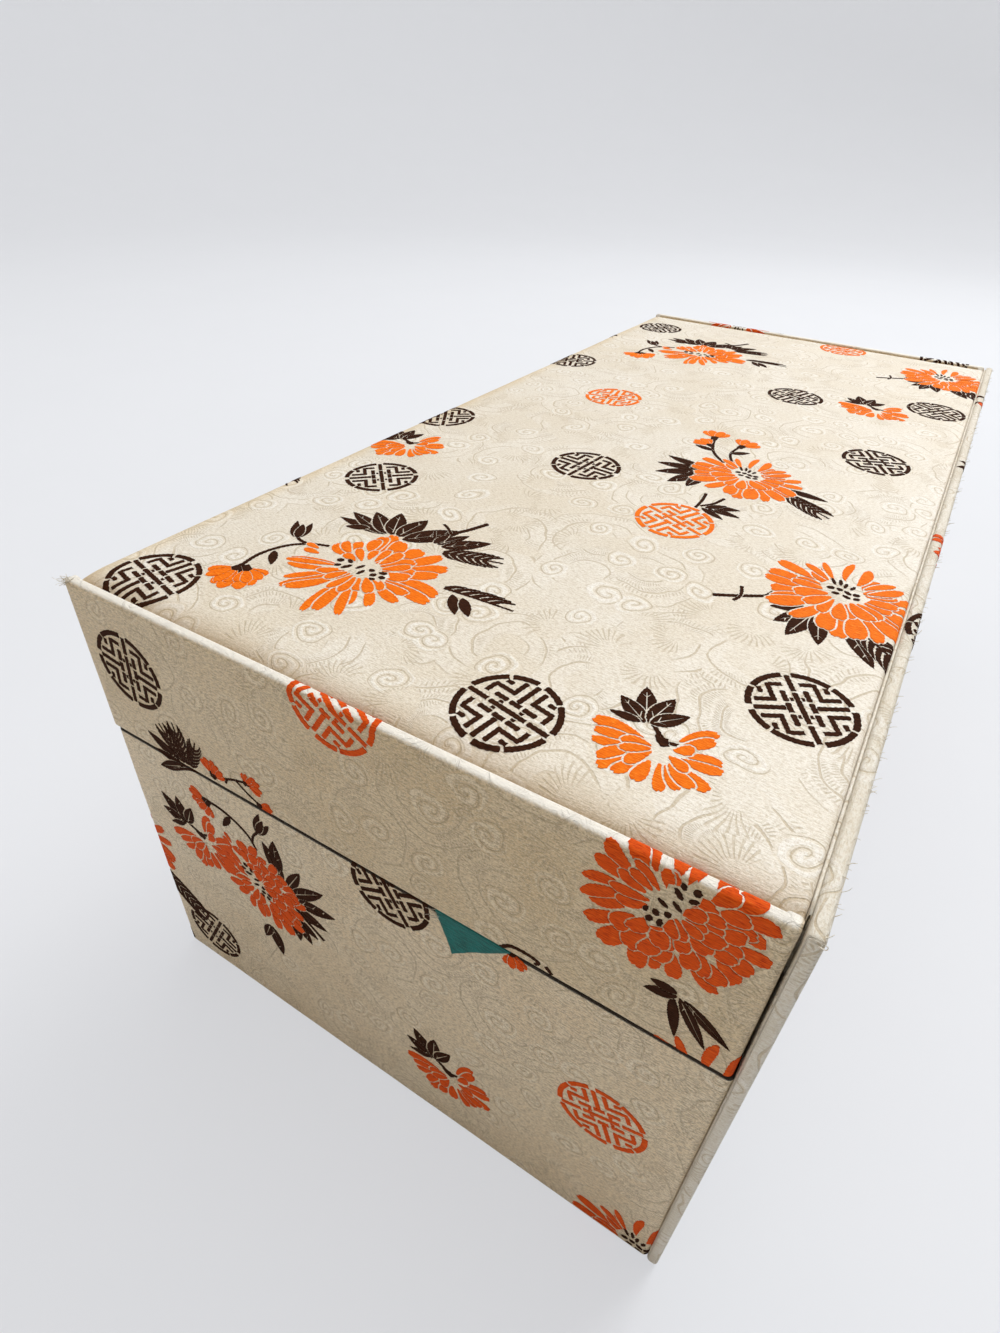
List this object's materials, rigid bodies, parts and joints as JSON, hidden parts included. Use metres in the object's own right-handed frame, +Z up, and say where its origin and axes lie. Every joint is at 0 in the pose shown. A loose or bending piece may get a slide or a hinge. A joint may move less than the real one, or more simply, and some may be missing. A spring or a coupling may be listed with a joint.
{
  "type": "brocade keepsake box",
  "caption": "Long lidded board box covered in figured silk brocade, with a padded top, a silk lining and a deep lid hinged along a full-height back board.",
  "frame": {"origin": "middle of the footprint, on the surface the box stands on", "axes": "+Z up; +Y along the length; +X towards the back board and its hinge line, so the lid opens at -X"},
  "size_m": [0.1632, 0.348, 0.1376],
  "materials": {
    "brocade": "figured ivory silk damask with woven orange and dark brown motifs",
    "silk_lining": "teal silk over thin card and wadding",
    "silk_tab": "doubled teal silk",
    "wadding": "cotton wadding",
    "greyboard": "matte pasted greyboard",
    "thin_card": "matte white card",
    "base_paper": "matte pasted paper"
  },
  "bodies": {
    "base": {"base_floor_board": "greyboard", "base_front_wall": "greyboard", "base_back_wall": "greyboard", "base_near_wall": "greyboard", "base_far_wall": "greyboard", "base_wall_cover": "brocade", "base_bottom_paper": "base_paper", "base_floor_card": "thin_card", "base_floor_pad": "silk_lining", "base_front_lining": "silk_lining", "base_back_lining": "silk_lining", "base_near_lining": "silk_lining", "base_far_lining": "silk_lining", "back_board": "greyboard", "back_board_cover": "brocade", "back_board_lining": "silk_lining", "hinge_cloth": "brocade"},
    "lid": {"lid_top_board": "greyboard", "lid_front_wall": "greyboard", "lid_back_wall": "greyboard", "lid_near_wall": "greyboard", "lid_far_wall": "greyboard", "lid_wall_cover": "brocade", "lid_panel_card": "thin_card", "lid_panel_wadding": "wadding", "lid_panel_cover": "brocade", "lid_top_lining_card": "thin_card", "lid_top_lining_pad": "silk_lining", "lid_front_lining": "silk_lining", "lid_back_lining": "silk_lining", "lid_near_lining": "silk_lining", "lid_far_lining": "silk_lining", "silk_tab": "silk_tab"}
  },
  "joints": [
    {"name": "lid_hinge", "type": "hinge", "parent": "base", "child": "lid", "pos_m": [0.07865, 0, 0.1355], "axis": [0, 1, 0], "range_deg": [0, 105]}
  ]
}
